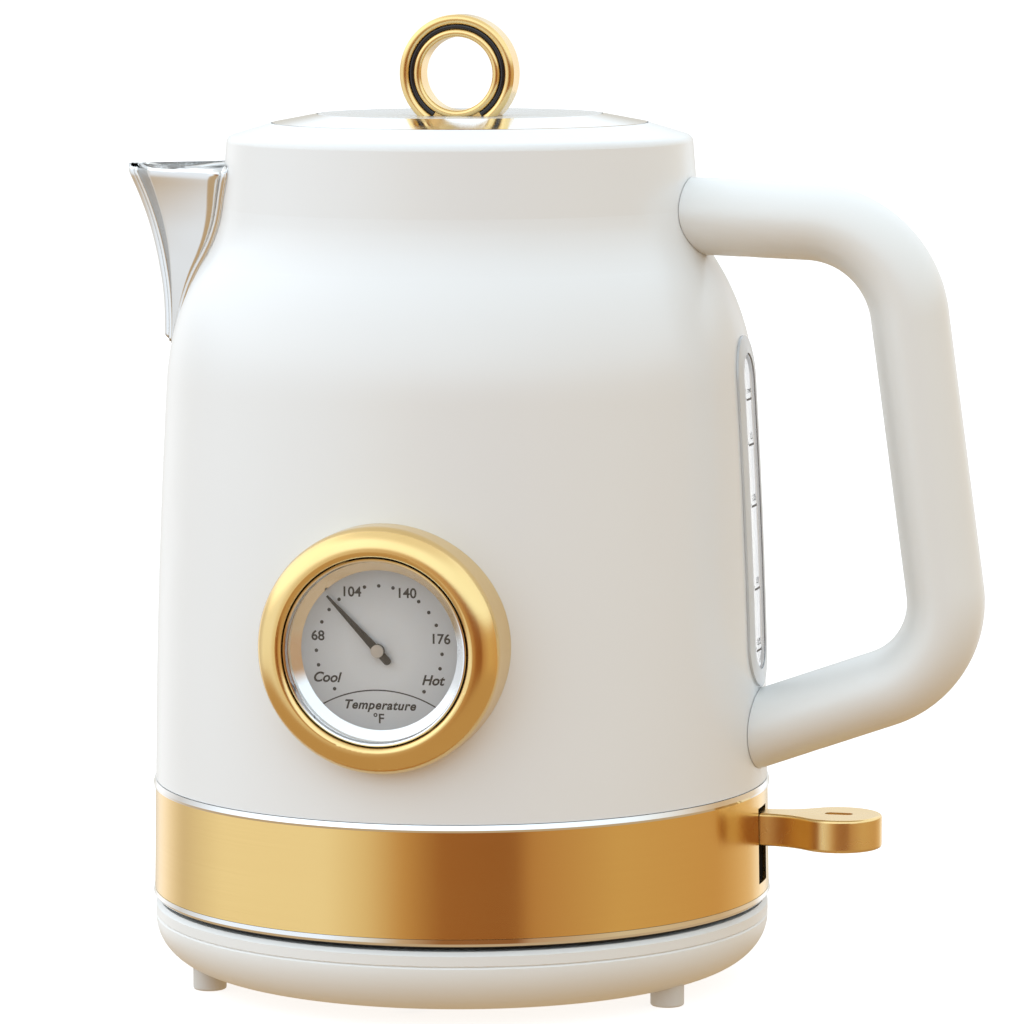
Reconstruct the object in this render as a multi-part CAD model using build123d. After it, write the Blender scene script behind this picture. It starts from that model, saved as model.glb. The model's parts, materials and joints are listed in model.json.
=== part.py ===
from build123d import *
import math
import os

# Electric kettle on a cordless power base. Millimetres, +Z up.
# The origin is on the kettle's vertical axis, at the level that the feet stand on.
# +X points to the handle, -X to the spout, and the thermometer faces -Y.

# ---- driving dimensions -------------------------------------------------------------------------

# outer wall of the kettle, from its foot to the rim
FOOT_Z = 50.7
FOOT_R = 76.95
WAIST_Z = 101.0
WAIST_R = 75.75
SHOULDER_Z = 151.0
SHOULDER_R = 73.3
SHOULDER_BEND = 61.5
SHOULDER_TURN = 28.7
HOLLOW_BEND = 30.0
HOLLOW_TURN = 27.5
RIM_Z = 211.3
RIM_R = 57.2
RIM_FILLET = 2.0
WALL = 1.0

# mouth and lid
MOUTH_R = 47.0
MOUTH_Z = 214.4
LEDGE_R = 44.2
LEDGE_Z = 203.8
LID_GAP = 0.35
LID_DISC_R = 35.4
LID_TOP_Z = 216.6
DISC_T = 1.3
DISC_DISH = 0.6
RING_Z = 226.5
RING_R = 14.6
RING_HOLE_R = 9.1
RING_THICK = 8.0
GROOVE_IN_R = 11.05
GROOVE_OUT_R = 12.2
GROOVE_DEPTH = 1.4

# spout
LIP_Z = 203.8
LIP_DROP = 0.09
KEEL_X = 76.2
BEAK_REACH = 9.1
BEAK_FOOT_Z = 160.0
BEAK_TOP_Z = 201.4
BEAK_POWER = 2.3
BEAK_FOOT_ANGLE = 43.0
BEAK_LIP_ANGLE = 37.0
BEAK_BACK_X = 44.0
BEAK_WALL = 1.0
NOSE_R = 2.4

# handle
GRIP_HALF = 9.5
GRIP_HALF_DEEP = 13.0
GRIP_WALL = 2.5
UPPER_ROOT = (50.0, 192.2)
UPPER_CORNER = (110.4, 189.9)
LOWER_CORNER = (125.1, 82.0)
LOWER_ROOT = (66.0, 60.84)
UPPER_BEND = 26.0
LOWER_BEND = 23.0

# water window
WINDOW_LOW_Z = 75.3
WINDOW_HIGH_Z = 162.4
WINDOW_W = 22.0
LENS_W = 13.0
FRAME_PROUD = 0.6
LENS_PROUD = 0.4

# thermometer
GAUGE_Z = 92.9
GAUGE_PLATE_Y = 77.0
BEZEL_R = 29.6
BEZEL_HOLE_R = 22.6
BEZEL_INNER_ROUND = 1.5
BEZEL_FRONT_Y = 86.2
CASE_R = 22.35
DIAL_R = 21.6
DIAL_SEEN_R = 19.1
DIAL_Y = 80.2
CRYSTAL_Y = 83.3
STEM_R = 5.0
NEEDLE_ANGLE = -44.0
NEEDLE_LONG = 17.8
NEEDLE_TAIL = 4.2

# bottom of the kettle
BAND_LOW_Z = 23.1
BAND_HIGH_Z = 48.8
BAND_R = 77.45
HOUSING_R = 76.4
HOUSING_LOW_Z = 20.9
SOCKET_R = 18.0
PLATE_Z = 53.0

# switch
PIVOT_X = 38.0
PIVOT_Z = 39.7
LEVER_LOW_Z = 35.6
LEVER_HIGH_Z = 43.8
NECK_W = 8.0
PADDLE_X = 96.4
PADDLE_R = 10.7
SLOT_LOW_Z = 26.0
SLOT_HIGH_Z = 45.0
SLOT_W = 9.4
TRIP_X = 18.0
TRIP_Z = 45.2
TRIP_ARM = 11.0
TRIP_TAIL = 7.5

# power base
BASE_R = 77.2
BASE_TOP_Z = 19.9
BASE_SEAM_Z = 16.2
BASE_LOW_Z = 3.6
BASE_EDGE_W = 14.0
BASE_EDGE_H = 12.0
SEAM_BEVEL = 0.35
BASE_WALL = 2.2
FOOT_PAD_R = 4.15
FOOT_RING_R = 66.5
FOOT_AZIMUTHS = (-27.0, 93.0, 213.0)
INLET_AZIMUTH = 150.0
GLAND_IN_R = 66.0
GLAND_OUT_R = 78.4
CLAMP_AT_R = 58.0
INLET_Z = 10.6
CORD_R = 3.5

FIT = 0.05
SKIN = 0.02


# ---- helpers ------------------------------------------------------------------------------------

def turned(points):
    """Solid of revolution about Z from corner points (radius, z)."""
    face = make_face(Polyline(*points, close=True))
    return revolve(Plane.XZ * face, axis=Axis.Z)


def tube(inner_r, outer_r, low, high):
    """Plain ring about Z."""
    return turned([(inner_r, low), (outer_r, low), (outer_r, high), (inner_r, high)])


def rod(radius, low, high, x=0.0, y=0.0):
    """Upright round bar."""
    return Pos(x, y, (low + high) / 2) * Cylinder(radius, high - low)


def block(x, y, z):
    """Box given by its (low, high) pair on each axis."""
    size = Box(x[1] - x[0], y[1] - y[0], z[1] - z[0])
    return Pos((x[0] + x[1]) / 2, (y[0] + y[1]) / 2, (z[0] + z[1]) / 2) * size


def polar(radius, azimuth):
    """Point on a circle about Z, azimuth in degrees from +X."""
    return radius * math.cos(math.radians(azimuth)), radius * math.sin(math.radians(azimuth))


def gauge_turned(points):
    """Solid of revolution about the thermometer's axis from points (radius, distance forward)."""
    corners = [(r, -forward) for r, forward in points]
    face = Pos(0, 0, GAUGE_Z) * make_face(Polyline(*corners, close=True))
    return revolve(face, axis=Axis((0, 0, GAUGE_Z), (0, 1, 0)))


def gauge_tube(inner_r, outer_r, back, front):
    """Plain ring about the thermometer's axis."""
    return gauge_turned([(inner_r, back), (outer_r, back), (outer_r, front), (inner_r, front)])


def wall_curve(shift=0.0):
    """Edges of the outer wall from its foot up the neck, moved outwards by shift."""
    foot = (FOOT_R + shift, FOOT_Z)
    waist = (WAIST_R + shift, WAIST_Z)
    shoulder = (SHOULDER_R + shift, SHOULDER_Z)
    barrel = ThreePointArc(foot, waist, shoulder)
    bulge = JernArc(barrel @ 1, barrel % 1, SHOULDER_BEND, SHOULDER_TURN)
    hollow = JernArc(bulge @ 1, bulge % 1, HOLLOW_BEND, -HOLLOW_TURN)
    run = hollow % 1
    rise = (RIM_Z + 12.0 - (hollow @ 1).Y) / run.Y
    neck = Line(hollow @ 1, hollow @ 1 + run * rise)
    return [barrel, bulge, hollow, neck]


def filled(shift=0.0):
    """Everything inside the outer wall moved outwards by shift, up past the rim."""
    edges = wall_curve(shift)
    top = edges[-1] @ 1
    closing = Polyline(top, (0, top.Y), (0, FOOT_Z), (FOOT_R + shift, FOOT_Z))
    face = make_face(edges + [closing])
    return revolve(Plane.XZ * face, axis=Axis.Z)


def layer(inner_shift, outer_shift):
    """Skin that follows the wall between two shifts."""
    return filled(outer_shift) - filled(inner_shift)


def obround_bar(width, low, high):
    """Bar along X with an obround section, for everything in the water window."""
    slot = Pos(0, (low + high) / 2) * SlotOverall(high - low, width, rotation=90)
    return extrude(Plane.YZ * slot, amount=100)


def screw(head_r, head_h, shank_r, length, grow=0.0):
    """Screw with its head's outer face at z = 0 and its shank pointing up."""
    head = rod(head_r + grow, 0, head_h + grow)
    return head + rod(shank_r + grow, 0, length + grow)


def screws_at(places, z, head_r, head_h, shank_r, length, grow=0.0):
    """The same upright screw at each (x, y)."""
    return [Pos(x, y, z) * screw(head_r, head_h, shank_r, length, grow) for x, y in places]


BODY_FILL = filled()


# ---- body ---------------------------------------------------------------------------------------

def rim_cone(drop):
    """Space under the sloping rim, lowered by drop."""
    slope = (MOUTH_Z - RIM_Z) / (RIM_R - MOUTH_R)
    outer = 2 * MOUTH_R
    corners = [
        (0, 0),
        (outer, 0),
        (outer, MOUTH_Z - slope * MOUTH_R - drop),
        (MOUTH_R, MOUTH_Z - drop),
        (0, MOUTH_Z - drop),
    ]
    return turned(corners)


def spout_half_width(z):
    """Half the width of the spout where it meets the wall."""
    return 8.0 + (z - 170.0) * 0.5


def strainer_holes():
    """Rows of round holes through the wall behind the spout."""
    holes = []
    for row, z in enumerate(range(176, 201, 5)):
        reach = spout_half_width(z) - 6.0
        count = 3 + row
        for index in range(count):
            y = -reach + 2 * reach * index / (count - 1)
            holes.append(Pos(-60, y, z) * Rot(0, 90, 0) * Cylinder(1.5, 40))
    return holes


def make_body_shell():
    outer = BODY_FILL & rim_cone(0)
    crease = outer.edges().filter_by(GeomType.CIRCLE).sort_by(SortBy.RADIUS)
    crease = [e for e in crease if abs(e.radius - RIM_R) < 1.5 and e.center().Z > RIM_Z - 2]
    outer = fillet(crease, RIM_FILLET)
    inner = filled(-WALL) & rim_cone(WALL)
    shell = outer - inner - rod(MOUTH_R, LEDGE_Z, MOUTH_Z + 5)
    shell += tube(MOUTH_R, MOUTH_R + WALL, LEDGE_Z, MOUTH_Z - WALL)
    shell += tube(LEDGE_R, MOUTH_R + WALL, LEDGE_Z, LEDGE_Z + WALL)
    shell -= obround_bar(17.0, WINDOW_LOW_Z + 2.5, WINDOW_HIGH_Z - 2.5)
    shell -= gauge_tube(0, STEM_R + 0.2, 60, 90)
    shell -= strainer_holes()
    return shell


def beak_section(z, inset):
    """V-shaped outline at one height with a round nose, every side moved in by inset."""
    above = max(0.0, (z - BEAK_FOOT_Z) / (BEAK_TOP_Z - BEAK_FOOT_Z))
    closing = BEAK_FOOT_ANGLE - BEAK_LIP_ANGLE
    half_angle = math.radians(BEAK_FOOT_ANGLE - closing * min(1.0, above))
    nose = NOSE_R - inset
    nose_x = KEEL_X + BEAK_REACH * above ** BEAK_POWER - NOSE_R
    apex_x = nose_x + nose / math.sin(half_angle)
    touch_x = nose_x + nose * math.sin(half_angle)
    touch_y = nose * math.cos(half_angle)
    side = (apex_x - BEAK_BACK_X) * math.tan(half_angle)
    return make_face([
        Line((-BEAK_BACK_X, side), (-touch_x, touch_y)),
        ThreePointArc((-touch_x, touch_y), (-nose_x - nose, 0), (-touch_x, -touch_y)),
        Line((-touch_x, -touch_y), (-BEAK_BACK_X, -side)),
        Line((-BEAK_BACK_X, -side), (-BEAK_BACK_X, side)),
    ])


def beak(inset):
    """Solid beak lofted through outlines from under its foot to above its lip."""
    return loft([Pos(0, 0, z) * beak_section(z, inset) for z in range(148, 213, 8)])


def beak_trim(inset):
    """Space between the slanting lip and the slanting cut at the foot of the beak."""
    lip_far = LIP_Z - LIP_DROP * 50
    corners = [(-100, lip_far), (-40, LIP_Z + 1.5), (-40, 120), (-66, 150 + inset), (-90, 178 + inset)]
    face = make_face(Polyline(*corners, close=True))
    return extrude(Plane.XZ * face, amount=40, both=True)


def make_spout():
    outer = beak(0) & beak_trim(0)
    inner = beak(BEAK_WALL)
    cavity = inner & (beak_trim(1.6) + block((-100, -40), (-40, 40), (195, 215)))
    return outer - cavity - filled(SKIN)


# ---- lid ----------------------------------------------------------------------------------------

def make_lid_cap():
    outer_r = MOUTH_R - LID_GAP
    slope = (LID_TOP_Z - MOUTH_Z) / (MOUTH_R - LID_DISC_R)
    edge_z = LID_TOP_Z - slope * (outer_r - LID_DISC_R - 0.2)
    recess_z = LID_TOP_Z - DISC_T
    corners = [
        (2.1, recess_z),
        (LID_DISC_R + 0.2, recess_z),
        (LID_DISC_R + 0.2, LID_TOP_Z),
        (outer_r, edge_z),
        (outer_r, LEDGE_Z + WALL + 0.3),
        (outer_r - 1.2, LEDGE_Z + WALL + 0.3),
        (outer_r - 1.2, edge_z - 1.6),
        (LID_DISC_R, recess_z - 1.2),
        (2.1, recess_z - 1.2),
    ]
    cap = turned(corners)
    return cap - tube(outer_r - 0.6, outer_r + 1, 206.5, 209.5)


def make_lid_seal():
    outer_r = MOUTH_R - LID_GAP
    return tube(outer_r - 0.58, outer_r + 0.05, 206.55, 209.45)


def make_lid_disc():
    """Round plate, slightly dished towards a flat middle where the ring stands."""
    low = LID_TOP_Z - DISC_T + SKIN
    dish_z = LID_TOP_Z - DISC_DISH
    flat_r = 12.0
    return turned([
        (2.1, low),
        (LID_DISC_R, low),
        (LID_DISC_R, LID_TOP_Z - 0.3),
        (LID_DISC_R - 0.3, LID_TOP_Z),
        (LID_DISC_R - 0.9, LID_TOP_Z),
        (flat_r, dish_z),
        (2.1, dish_z),
    ])


def make_lid_cup():
    outer_r = LEDGE_R - 0.8
    corners = [
        (0, 198.0),
        (outer_r - 2, 198.0),
        (outer_r, 200.0),
        (outer_r, 212.8),
        (outer_r - 0.8, 212.8),
        (outer_r - 0.8, 200.3),
        (outer_r - 2.3, 198.8),
        (0, 198.8),
    ]
    return turned(corners)


def make_lid_ring():
    """Ring of two round beads with a groove between them, cut flat where it stands, on a stud."""
    half = RING_THICK / 2
    floor = half - GROOVE_DEPTH
    bead = half - 0.9
    outer_top = ((GROOVE_OUT_R + RING_R) / 2, half)
    inner_top = ((RING_HOLE_R + GROOVE_IN_R) / 2, half - 0.1)

    def face_edges(side):
        """Edges of one face, from the hole out to the rim."""
        return [
            ThreePointArc(
                (RING_HOLE_R, side * bead),
                (inner_top[0], side * inner_top[1]),
                (GROOVE_IN_R, side * bead),
            ),
            Polyline(
                (GROOVE_IN_R, side * bead),
                (GROOVE_IN_R, side * floor),
                (GROOVE_OUT_R, side * floor),
                (GROOVE_OUT_R, side * bead),
            ),
            ThreePointArc(
                (GROOVE_OUT_R, side * bead),
                (outer_top[0], side * outer_top[1]),
                (RING_R, side * bead),
            ),
        ]

    profile = make_face(face_edges(1) + face_edges(-1) + [
        Line((RING_HOLE_R, bead), (RING_HOLE_R, -bead)),
        Line((RING_R, bead), (RING_R, -bead)),
    ])
    stand_z = LID_TOP_Z - DISC_DISH + SKIN
    ring = Pos(0, 0, RING_Z) * revolve(profile, axis=Axis.Y)
    ring -= block((-30, 30), (-30, 30), (150, stand_z))
    return ring + rod(2.0, 209.5, stand_z + 1.0)


def make_ring_nut():
    nut = extrude(RegularPolygon(4.1, 6), amount=3.2) - Cylinder(2.0 + FIT, 10)
    return Pos(0, 0, LID_TOP_Z - DISC_T - 1.25 - 3.2) * nut


# ---- handle -------------------------------------------------------------------------------------

def handle_path():
    """Centre line of the handle in the XZ plane."""
    corners = [(x, 0, z) for x, z in (UPPER_ROOT, UPPER_CORNER, LOWER_CORNER, LOWER_ROOT)]
    return FilletPolyline(*corners, radius=[UPPER_BEND, LOWER_BEND])


def grip_oval(inset):
    """Oval section of the handle, wider along Y than it is thick, moved in by inset."""
    return Ellipse(GRIP_HALF_DEEP - inset, GRIP_HALF - inset)


def swept(inset):
    path = handle_path()
    start = Plane(origin=path @ 0, x_dir=(0, 1, 0), z_dir=path % 0)
    return sweep(start * grip_oval(inset), path=path)


def arm_direction(root, corner):
    return Vector(corner[0] - root[0], 0, corner[1] - root[1]).normalized()


def arm_bar(root, corner, inset, length):
    """Oval bar along one arm of the handle, from its root."""
    start = Plane(origin=(root[0], 0, root[1]), x_dir=(0, 1, 0), z_dir=arm_direction(root, corner))
    return extrude(start * grip_oval(inset), amount=length)


# one screw in each arm: the arm's root and corner, and the screw's distance from the root
ARM_SCREWS = [(UPPER_ROOT, UPPER_CORNER, 24.0), (LOWER_ROOT, LOWER_CORNER, 23.4)]
SCREW_SUNK = 0.6


def handle_screws(grow=0.0, pocket=0.0):
    """Two screws that enter the arms from below, their heads sunk in the grip."""
    solids = []
    for root, corner, distance in ARM_SCREWS:
        along = arm_direction(root, corner)
        inwards = Vector(-along.Z, 0, along.X)
        place = Vector(root[0], 0, root[1]) + along * distance - inwards * (GRIP_HALF - SCREW_SUNK)
        solid = screw(2.8, 2.0, 1.5, 9.5, grow)
        if pocket:
            solid += rod(2.8 + grow, -pocket, 0.5)
        solids.append(Plane(origin=place, z_dir=inwards).location * solid)
    return solids


def make_handle_grip():
    grip = swept(0) - swept(GRIP_WALL) - filled(0.15)
    return grip - handle_screws(0.1, 3.0)


def make_upper_bracket():
    stub = arm_bar(UPPER_ROOT, UPPER_CORNER, GRIP_WALL + 0.15, 30)
    return stub - filled(SKIN) - handle_screws(0.1)


def make_lower_bracket():
    stub = arm_bar(LOWER_ROOT, LOWER_CORNER, GRIP_WALL + 0.15, 30)
    return stub - filled(SKIN) - handle_screws(0.1)


# ---- water window -------------------------------------------------------------------------------

def make_window_frame():
    hole = obround_bar(LENS_W + 0.4, WINDOW_LOW_Z + 4.3, WINDOW_HIGH_Z - 4.3)
    return layer(SKIN, FRAME_PROUD) & (obround_bar(WINDOW_W, WINDOW_LOW_Z, WINDOW_HIGH_Z) - hole)


def make_window_lens():
    flange = layer(-2.6, -1.7) & obround_bar(20.0, WINDOW_LOW_Z + 1, WINDOW_HIGH_Z - 1)
    rib = layer(-1.75, LENS_PROUD) & obround_bar(LENS_W, WINDOW_LOW_Z + 4.5, WINDOW_HIGH_Z - 4.5)
    return flange + rib


def make_window_gasket():
    hole = obround_bar(17.4, WINDOW_LOW_Z + 2.3, WINDOW_HIGH_Z - 2.3)
    return layer(-1.68, -WALL - SKIN) & (obround_bar(20.0, WINDOW_LOW_Z + 1, WINDOW_HIGH_Z - 1) - hole)


def make_window_clamp():
    hole = obround_bar(LENS_W + 0.4, WINDOW_LOW_Z + 4.3, WINDOW_HIGH_Z - 4.3)
    return layer(-4.2, -2.62) & (obround_bar(WINDOW_W, WINDOW_LOW_Z, WINDOW_HIGH_Z) - hole)


# ---- thermometer --------------------------------------------------------------------------------

def make_gauge_bezel():
    """Rounded ring with a thin back plate, its skirt cut to the curve of the wall."""
    peak = BEZEL_HOLE_R + BEZEL_INNER_ROUND
    outer_round = BEZEL_R - peak
    knee = BEZEL_FRONT_Y - outer_round
    inner_knee = BEZEL_FRONT_Y - BEZEL_INNER_ROUND
    diagonal = math.sqrt(0.5)
    outer_middle = (peak + outer_round * diagonal, -knee - outer_round * diagonal)
    inner_middle = (peak - BEZEL_INNER_ROUND * diagonal, -inner_knee - BEZEL_INNER_ROUND * diagonal)
    profile = make_face([
        Line((BEZEL_HOLE_R, -70), (BEZEL_R, -70)),
        Line((BEZEL_R, -70), (BEZEL_R, -knee)),
        ThreePointArc((BEZEL_R, -knee), outer_middle, (peak, -BEZEL_FRONT_Y)),
        ThreePointArc((peak, -BEZEL_FRONT_Y), inner_middle, (BEZEL_HOLE_R, -inner_knee)),
        Line((BEZEL_HOLE_R, -inner_knee), (BEZEL_HOLE_R, -70)),
    ])
    ring = revolve(Pos(0, 0, GAUGE_Z) * profile, axis=Axis((0, 0, GAUGE_Z), (0, 1, 0)))
    ring -= filled(0.05)
    return ring + gauge_tube(STEM_R + 0.6, BEZEL_HOLE_R + 0.5, GAUGE_PLATE_Y, GAUGE_PLATE_Y + 0.6)


def make_gauge_case():
    """Round case with a hollow threaded stem that reaches through the wall into the water."""
    back = GAUGE_PLATE_Y + 0.65
    case = gauge_tube(3.6, CASE_R, back, back + 0.7)
    case += gauge_tube(CASE_R - 0.7, CASE_R, back, 84.4)
    case += gauge_tube(3.6, STEM_R, 56, back + 0.1)
    return case + gauge_tube(0, STEM_R, 55, 56.5)


def make_gauge_gasket():
    return gauge_tube(STEM_R + 0.1, 9.0, 73, GAUGE_PLATE_Y - SKIN) - filled(SKIN)


def make_gauge_nut():
    bar = Plane(origin=(0, -70.4, GAUGE_Z), z_dir=(0, -1, 0)) * RegularPolygon(8.6, 6)
    return extrude(bar, amount=3.6) - gauge_tube(0, STEM_R + FIT, 60, 90)


def make_gauge_coil():
    return gauge_tube(1.9, 2.9, 57.5, 76.0)


def make_gauge_dial():
    return gauge_tube(0.65, DIAL_R, DIAL_Y - 0.6, DIAL_Y)


def make_gauge_inner_ring():
    return gauge_turned([
        (DIAL_SEEN_R, DIAL_Y + 0.05),
        (DIAL_R, DIAL_Y + 0.05),
        (DIAL_R, CRYSTAL_Y - 0.05),
        (DIAL_R - 0.15, CRYSTAL_Y - 0.05),
        (DIAL_R - 0.15, DIAL_Y + 1.4),
    ])


def make_gauge_crystal():
    return gauge_tube(0, DIAL_R, CRYSTAL_Y, CRYSTAL_Y + 1.1)


def make_gauge_rim():
    return gauge_turned([
        (DIAL_R - 0.15, CRYSTAL_Y + 1.15),
        (CASE_R, CRYSTAL_Y + 1.15),
        (CASE_R, CRYSTAL_Y + 2.0),
        (CASE_R - 0.3, CRYSTAL_Y + 2.3),
        (DIAL_R + 0.1, CRYSTAL_Y + 2.2),
    ])


def make_gauge_needle():
    """Tapered pointer with a round tail, turned to its resting reading."""
    blade = Polyline((-0.25, NEEDLE_LONG), (0.25, NEEDLE_LONG), (0.95, 1.2), (-0.95, 1.2), close=True)
    blade = make_face(blade)
    tail = Pos(0, -NEEDLE_TAIL / 2) * Rectangle(1.9, NEEDLE_TAIL - 1.9)
    tail += Pos(0, -NEEDLE_TAIL + 0.95) * Circle(0.95)
    shape = (blade + tail + Circle(1.7)) - Circle(0.62)
    front = Plane(origin=(0, -DIAL_Y - 1.1, GAUGE_Z), x_dir=(1, 0, 0), z_dir=(0, -1, 0))
    return extrude(front * Rot(0, 0, -NEEDLE_ANGLE) * shape, amount=0.35)


def make_gauge_hub():
    return gauge_tube(0, 1.55, DIAL_Y + 1.5, DIAL_Y + 2.0)


def make_gauge_spindle():
    return gauge_tube(0, 0.6, 60, DIAL_Y + 1.49)


# ---- bottom of the kettle -----------------------------------------------------------------------

HOUSING_SCREWS = [polar(62.0, azimuth) for azimuth in (60.0, 180.0, 300.0)]
CONTROL_SCREWS = [polar(21.5, azimuth) for azimuth in (75.0, 180.0, 285.0)]


def lever_slot():
    """Upright slot for the lever through the band and the housing."""
    return block((60, 90), (-SLOT_W / 2, SLOT_W / 2), (SLOT_LOW_Z, SLOT_HIGH_Z))


def make_gold_band():
    band = turned([
        (HOUSING_R + 0.1, BAND_LOW_Z),
        (BAND_R, BAND_LOW_Z),
        (BAND_R - 0.4, BAND_HIGH_Z),
        (HOUSING_R + 0.1, BAND_HIGH_Z),
    ])
    return band - lever_slot()


def make_upper_trim():
    top = FOOT_Z - 0.1
    return turned([
        (HOUSING_R + 0.1, BAND_HIGH_Z + 0.05),
        (BAND_R, BAND_HIGH_Z + 0.05),
        (BAND_R + 0.1, BAND_HIGH_Z + 0.6),
        (BAND_R - 0.2, top),
        (HOUSING_R + 0.1, top),
    ])


def make_lower_trim():
    return turned([
        (HOUSING_R + 0.1, 21.3),
        (BAND_R - 0.2, 21.3),
        (BAND_R + 0.3, 22.0),
        (BAND_R + 0.2, BAND_LOW_Z - 0.05),
        (HOUSING_R + 0.1, BAND_LOW_Z - 0.05),
    ])


def make_bottom_housing():
    """Tub that closes the underside, with screw bosses and the two ears of the lever's pivot."""
    floor_top = HOUSING_LOW_Z + 2.0
    housing = tube(SOCKET_R + 0.5, HOUSING_R, HOUSING_LOW_Z, floor_top)
    housing += tube(HOUSING_R - 2.0, HOUSING_R, HOUSING_LOW_Z, FOOT_Z - 0.4)
    for x, y in HOUSING_SCREWS:
        housing += rod(4.5, floor_top - 0.5, 48.0, x, y)
    for side in (-1, 1):
        ear = sorted((side * 5.2, side * 7.4))
        housing += block((PIVOT_X - 4, PIVOT_X + 4), ear, (floor_top - 0.5, PIVOT_Z + 4))
    housing -= lever_slot()
    housing -= lever_pin(FIT)
    housing -= screws_at(HOUSING_SCREWS, HOUSING_LOW_Z - 0.1, 3.2, 2.2, 1.5, 40, 0.15)
    return housing


def make_housing_screws():
    return screws_at(HOUSING_SCREWS, HOUSING_LOW_Z + 0.1, 3.2, 2.0, 1.5, 30)


def make_mounting_nuts():
    return [rod(4.0, 48.1, PLATE_Z - SKIN, x, y) - rod(1.5 + FIT, 48, 52, x, y) for x, y in HOUSING_SCREWS]


STEAM_TUBE = polar(50.0, 35.0)
STEAM_R = 4.5


def make_heater_plate():
    """Steel floor of the vessel with a short rim turned down inside the wall."""
    plate_r = FOOT_R - WALL - 0.15
    plate = tube(0, plate_r, PLATE_Z, PLATE_Z + 1.0) + tube(plate_r - 0.8, plate_r, FOOT_Z, PLATE_Z + 0.5)
    return plate - rod(STEAM_R + 1.5, 50, 60, *STEAM_TUBE)


def make_heat_spreader():
    return tube(0, 43.0, PLATE_Z - 2.5, PLATE_Z - SKIN)


def make_heating_element():
    """Sheathed element: most of a ring under the spreader, with its two ends turned down."""
    element_r = 37.5
    z = PLATE_Z - 6.4
    arc = revolve(Pos(element_r, 0, z) * Rot(90, 0, 0) * Circle(3.8), axis=Axis.Z, revolution_arc=290)
    arc = Rot(0, 0, 35) * arc
    for azimuth in (35.0, 325.0):
        x, y = polar(element_r, azimuth)
        arc += rod(1.6, 34.0, z, x, y)
    return arc


def make_tube_grommet():
    x, y = STEAM_TUBE
    grommet = rod(STEAM_R + 1.45, PLATE_Z - 1.5, PLATE_Z + 2.5, x, y)
    grommet += rod(STEAM_R + 3.0, PLATE_Z + 1 + SKIN, PLATE_Z + 2.5, x, y)
    return grommet - rod(STEAM_R + SKIN, 40, 70, x, y)


def make_steam_tube():
    x, y = STEAM_TUBE
    return rod(STEAM_R, 35.0, 195.0, x, y) - rod(STEAM_R - 0.9, 30.0, 200.0, x, y)


def make_bimetal_disc():
    return rod(6.0, 33.6, 34.0, *STEAM_TUBE)


def make_bimetal_carrier():
    x, y = STEAM_TUBE
    cup = rod(7.4, HOUSING_LOW_Z + 2 + SKIN, 35.5, x, y) - rod(6.1, 33.5, 40, x, y)
    return cup - rod(4.8, 20, 40, x, y)


def make_control_unit():
    """Thermostat and switch block under the heat spreader, with a notch for its trip lever."""
    control = tube(0, 25.0, 36.5, 42.0)
    for x, y in CONTROL_SCREWS:
        control += rod(3.2, 41.5, PLATE_Z - 2.5 - SKIN, x, y)
    control += block((TRIP_X - 3, TRIP_X + 3), (4.6, 6.6), (41.5, TRIP_Z + 2.6))
    control += block((TRIP_X - 3, TRIP_X + 3), (-6.6, -4.6), (41.5, TRIP_Z + 2.6))
    control -= block((20.0, 30.0), (-6.6, 6.6), (30, 50))
    control -= trip_pin(FIT)
    control -= screws_at(CONTROL_SCREWS, 36.4, 2.4, 1.7, 1.2, 13, 0.1)
    return control


def make_control_screws():
    return screws_at(CONTROL_SCREWS, 36.4, 2.4, 1.6, 1.2, 12)


# ---- switch -------------------------------------------------------------------------------------

def cross_pin(x, z, radius, half_length):
    """Round pin along Y."""
    return Pos(x, 0, z) * Rot(90, 0, 0) * Cylinder(radius, 2 * half_length)


def lever_pin(grow=0.0):
    return cross_pin(PIVOT_X, PIVOT_Z, 1.5 + grow, 7.6)


def trip_pin(grow=0.0):
    return cross_pin(TRIP_X, TRIP_Z, 1.0 + grow, 6.8)


def make_lever_paddle():
    """Round finger plate that narrows to a neck, with a small obround recess in its top."""
    join = polar(PADDLE_R, 130.0)
    start_x = 66.0
    neck_end = 78.0
    half = NECK_W / 2
    upper = Spline(
        (neck_end, half),
        (PADDLE_X + join[0], join[1]),
        tangents=[(1, 0), (join[1], -join[0])],
    )
    lower = mirror(upper, about=Plane.XZ)
    outline = make_face([
        Line((start_x, -half), (start_x, half)),
        Line((start_x, half), (neck_end, half)),
        upper,
        ThreePointArc(
            (PADDLE_X + join[0], join[1]),
            (PADDLE_X + PADDLE_R, 0),
            (PADDLE_X + join[0], -join[1]),
        ),
        lower,
        Line((neck_end, -half), (start_x, -half)),
    ])
    paddle = extrude(Pos(0, 0, LEVER_LOW_Z) * outline, amount=LEVER_HIGH_Z - LEVER_LOW_Z)
    paddle = fillet(paddle.faces().sort_by(Axis.Z)[-1].edges(), 0.8)
    paddle = fillet(paddle.faces().sort_by(Axis.Z)[0].edges(), 0.8)
    recess = Pos(PADDLE_X, 0, LEVER_HIGH_Z) * extrude(SlotOverall(7.0, 3.0), amount=1.2, both=True)
    socket = block((60, 71), (-2.5, 2.5), (PIVOT_Z - 2.5, PIVOT_Z + 2.5))
    return paddle - recess - socket


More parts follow.
